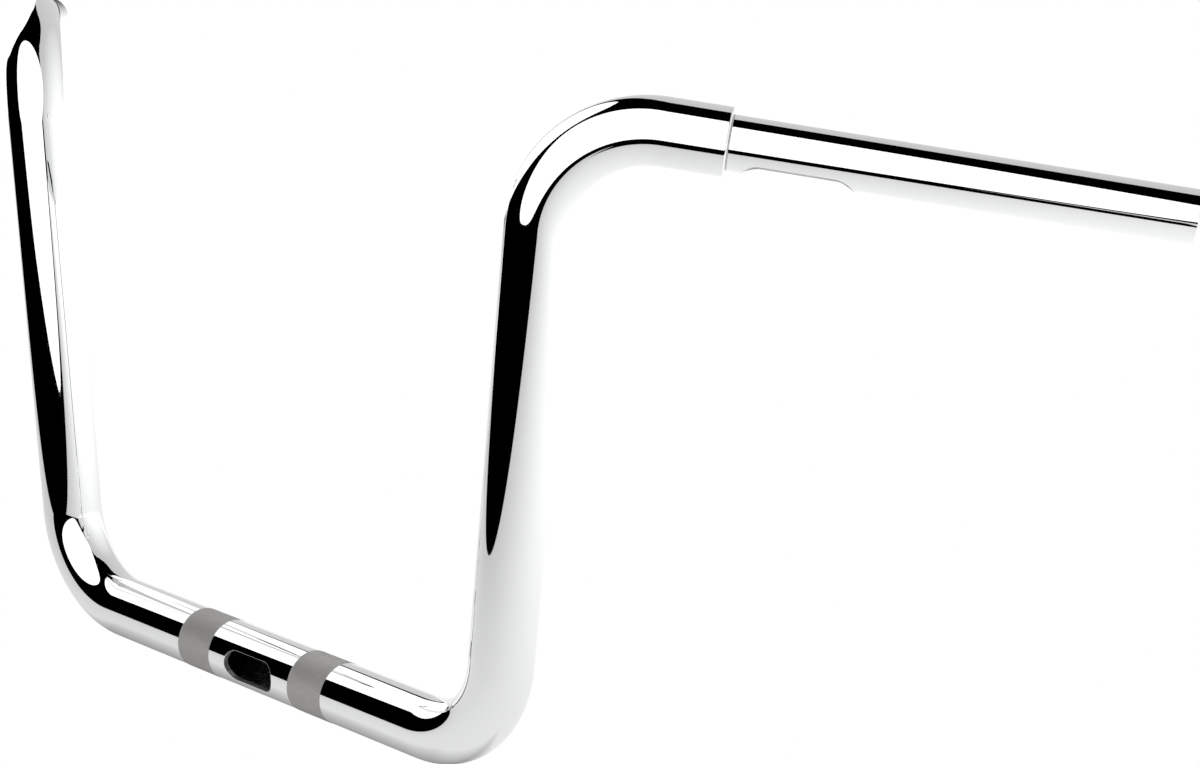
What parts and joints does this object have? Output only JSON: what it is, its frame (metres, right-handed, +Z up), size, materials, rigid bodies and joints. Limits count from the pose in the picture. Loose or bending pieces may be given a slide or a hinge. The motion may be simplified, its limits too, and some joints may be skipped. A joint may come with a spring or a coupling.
{
  "type": "motorcycle handlebar",
  "caption": "Chrome ape-hanger handlebar: bent tube with knurled clamp bands, upright risers, a front wiring slot and slotted, stepped-down grip tubes.",
  "frame": {"origin": "middle of the clamping section, on the main tube's axis, behind the front wiring slot", "axes": "+X to the rider's left along the centre section, +Y rearwards to the rider, +Z up along the risers"},
  "size_m": [0.865, 0.1981, 0.3393],
  "materials": {
    "chrome_tube": "mirror-polished chrome plate, with two matte knurled bands",
    "chrome_grip": "mirror-polished chrome plate",
    "chrome_weld": "weld dressed smooth and chrome plated"
  },
  "bodies": {
    "root": {"main_tube": "chrome_tube", "grip_tube_left": "chrome_grip", "grip_tube_right": "chrome_grip", "weld_ring_left": "chrome_weld", "weld_ring_right": "chrome_weld"}
  },
  "joints": []
}
